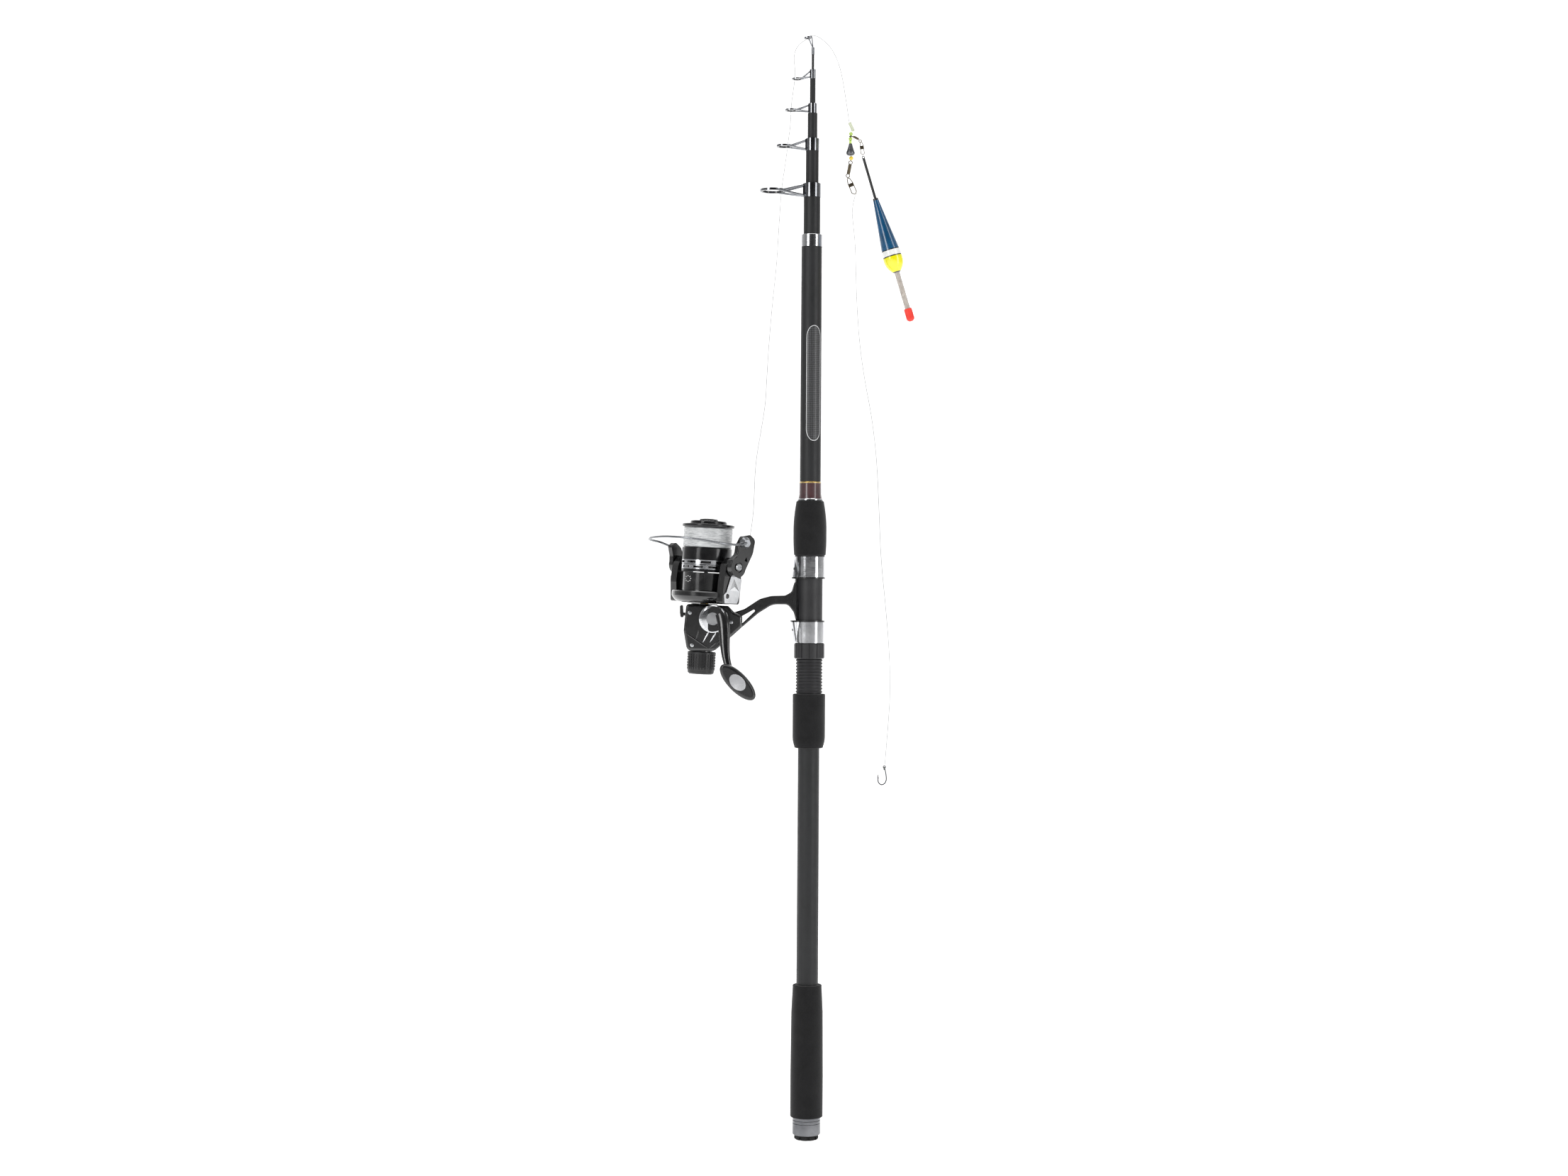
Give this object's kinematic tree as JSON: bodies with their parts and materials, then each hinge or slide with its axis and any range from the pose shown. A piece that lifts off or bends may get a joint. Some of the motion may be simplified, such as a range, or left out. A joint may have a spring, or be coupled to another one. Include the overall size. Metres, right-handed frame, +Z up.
{
  "type": "telescopic fishing rod with spinning reel",
  "caption": "Telescopic fishing rod with a rear-drag spinning reel, line through its guides, a float rig and a hook; sections slide out and the crank turns the rotor.",
  "frame": {"origin": "centre of the flat underside of the rubber foot at the butt end", "axes": "+Z up the rod towards the tip; the reel hangs towards -X; the crank is on -Y"},
  "size_m": [0.2521, 0.1101, 1.0503],
  "materials": {
    "rubber_foot": "matte",
    "cap_metal": "anodised gunmetal",
    "blank": "satin graphite composite",
    "eva_foam": "fine matte foam",
    "seat_plastic": "satin",
    "polished_steel": "polished",
    "winding_lacquer": "clear lacquer over thread",
    "guide_chrome": "polished wire with dark ring insert",
    "reel_black": "gloss lacquer",
    "silver_trim": "polished",
    "gear_metal": "machined",
    "steel": "ground",
    "gunmetal_wire": "satin",
    "spool_finish": "black anodised with silver bands",
    "fibre_washer": "pressed felt",
    "black_plastic": "satin",
    "line_nylon": "clear nylon",
    "rig_beads": "translucent",
    "lead": "dull",
    "rig_metal": "bronzed",
    "hook_steel": "black nickel",
    "float_paint": "painted in blue, white and yellow",
    "float_stem": "black stem, milky tube and red cap"
  },
  "bodies": {
    "root": {"butt_foot": "rubber_foot", "butt_cap": "cap_metal", "butt_blank": "blank", "rear_grip": "eva_foam", "middle_grip": "eva_foam", "fore_grip": "eva_foam", "reel_seat": "seat_plastic", "fixed_hood": "polished_steel", "handle_winding": "winding_lacquer", "mouth_ring": "polished_steel", "reel_body": "reel_black", "side_cover": "reel_black", "housing_screws": "steel", "ball_bearings": "steel", "drag_washers": "fibre_washer", "line_reel_to_guide_1": "line_nylon"},
    "section_2": {"section_2": "blank", "guide_1": "guide_chrome", "line_guide_1_to_2": "line_nylon"},
    "section_3": {"section_3": "blank", "guide_2": "guide_chrome", "line_guide_2_to_3": "line_nylon"},
    "section_4": {"section_4": "blank", "guide_3": "guide_chrome", "line_guide_3_to_4": "line_nylon"},
    "section_5": {"section_5": "blank", "guide_4": "guide_chrome", "line_guide_4_to_tip": "line_nylon"},
    "section_6": {"section_6": "blank", "tip_top": "guide_chrome", "hanging_line": "line_nylon", "rig_beads": "rig_beads", "sinker": "lead", "rig_swivels": "rig_metal", "leader": "line_nylon", "hook": "hook_steel"},
    "float": {"float_body": "float_paint", "float_stem": "float_stem"},
    "moving_hood": {"moving_hood": "polished_steel"},
    "lock_nut": {"lock_nut": "seat_plastic"},
    "crank": {"crank_arm": "reel_black", "crank_hub": "silver_trim", "drive_gear": "gear_metal"},
    "crank_knob": {"crank_knob": "black_plastic"},
    "rotor": {"rotor": "reel_black", "rotor_plates": "silver_trim", "rotor_screws": "steel", "pinion": "gear_metal"},
    "bail": {"bail_arm": "reel_black", "bail_holder": "reel_black", "bail_wire": "gunmetal_wire"},
    "line_roller": {"line_roller": "silver_trim"},
    "oscillation_gear": {"oscillation_gear": "black_plastic"},
    "shaft_slider": {"shaft_slider": "gear_metal"},
    "spool": {"spool": "spool_finish", "line_pack": "line_nylon", "main_shaft": "steel"},
    "spool_button": {"spool_button": "black_plastic"},
    "drag_knob": {"drag_knob": "black_plastic"},
    "anti_reverse_lever": {"anti_reverse_lever": "black_plastic"}
  },
  "joints": [
    {"name": "section_2_slide", "type": "slide", "parent": "root", "child": "section_2", "axis": [0, 0, 1], "range_m": [0, 0.66], "deforming": ["line_reel_to_guide_1"]},
    {"name": "section_3_slide", "type": "slide", "parent": "section_2", "child": "section_3", "axis": [0, 0, 1], "range_m": [0, 0.68], "deforming": ["line_guide_1_to_2"]},
    {"name": "section_4_slide", "type": "slide", "parent": "section_3", "child": "section_4", "axis": [0, 0, 1], "range_m": [0, 0.69], "deforming": ["line_guide_2_to_3"]},
    {"name": "section_5_slide", "type": "slide", "parent": "section_4", "child": "section_5", "axis": [0, 0, 1], "range_m": [0, 0.7], "deforming": ["line_guide_3_to_4"]},
    {"name": "section_6_slide", "type": "slide", "parent": "section_5", "child": "section_6", "axis": [0, 0, 1], "range_m": [0, 0.72], "deforming": ["line_guide_4_to_tip"]},
    {"name": "float_swing", "type": "hinge", "parent": "section_6", "child": "float", "pos_m": [0.04847, 0, 0.93442], "axis": [0, -1, 0], "range_deg": [0, 40]},
    {"name": "moving_hood_slide", "type": "slide", "parent": "root", "child": "moving_hood", "axis": [0, 0, 1], "range_m": [-0.008, 0]},
    {"name": "lock_nut_turn", "type": "hinge", "parent": "moving_hood", "child": "lock_nut", "pos_m": [0, 0, 0.4644], "axis": [0, 0, 1], "range_deg": [-961, 0]},
    {"name": "crank_turn", "type": "hinge", "parent": "root", "child": "crank", "pos_m": [-0.0911, -0.03, 0.4945], "axis": [0, 1, 0], "continuous": true},
    {"name": "knob_spin", "type": "hinge", "parent": "crank", "child": "crank_knob", "pos_m": [-0.0667, -0.065, 0.4366], "axis": [0, 1, 0], "continuous": true},
    {"name": "rotor_spin", "type": "hinge", "parent": "root", "child": "rotor", "pos_m": [-0.09956, 0, 0.52], "axis": [0.0478, 0, 0.9989], "continuous": true},
    {"name": "bail_flip", "type": "hinge", "parent": "rotor", "child": "bail", "pos_m": [-0.09838, 0, 0.54457], "axis": [0.7185, -0.6947, -0.0344], "range_deg": [-110, 0]},
    {"name": "line_roller_spin", "type": "hinge", "parent": "bail", "child": "line_roller", "pos_m": [-0.06023, -0.01159, 0.56677], "axis": [0.7185, -0.6947, -0.0344], "continuous": true},
    {"name": "oscillation_gear_turn", "type": "hinge", "parent": "root", "child": "oscillation_gear", "pos_m": [-0.1025, 0.0067, 0.4795], "axis": [0, 1, 0], "continuous": true},
    {"name": "shaft_slide", "type": "slide", "parent": "root", "child": "shaft_slider", "axis": [0.0478, 0, 0.9989], "range_m": [-0.014, 0]},
    {"name": "spool_drag_turn", "type": "hinge", "parent": "shaft_slider", "child": "spool", "pos_m": [-0.09765, 0, 0.55995], "axis": [0.0478, 0, 0.9989], "continuous": true},
    {"name": "spool_button_press", "type": "slide", "parent": "spool", "child": "spool_button", "axis": [-0.0478, 0, -0.9989], "range_m": [0, 0.002], "stiffness_N_per_m": 900},
    {"name": "drag_knob_turn", "type": "hinge", "parent": "root", "child": "drag_knob", "pos_m": [-0.10281, 0, 0.45208], "axis": [0.0478, 0, 0.9989], "range_deg": [0, 720]},
    {"name": "anti_reverse_flip", "type": "hinge", "parent": "root", "child": "anti_reverse_lever", "pos_m": [-0.1204, 0, 0.4986], "axis": [1, 0, 0], "range_deg": [-30, 0]}
  ],
  "couplings": [
    {"joint": "lock_nut_turn", "follows": "moving_hood_slide", "rad_per_m": 2094.4},
    {"joint": "rotor_spin", "follows": "crank_turn", "ratio": -5},
    {"joint": "oscillation_gear_turn", "follows": "crank_turn", "ratio": -0.66667}
  ]
}
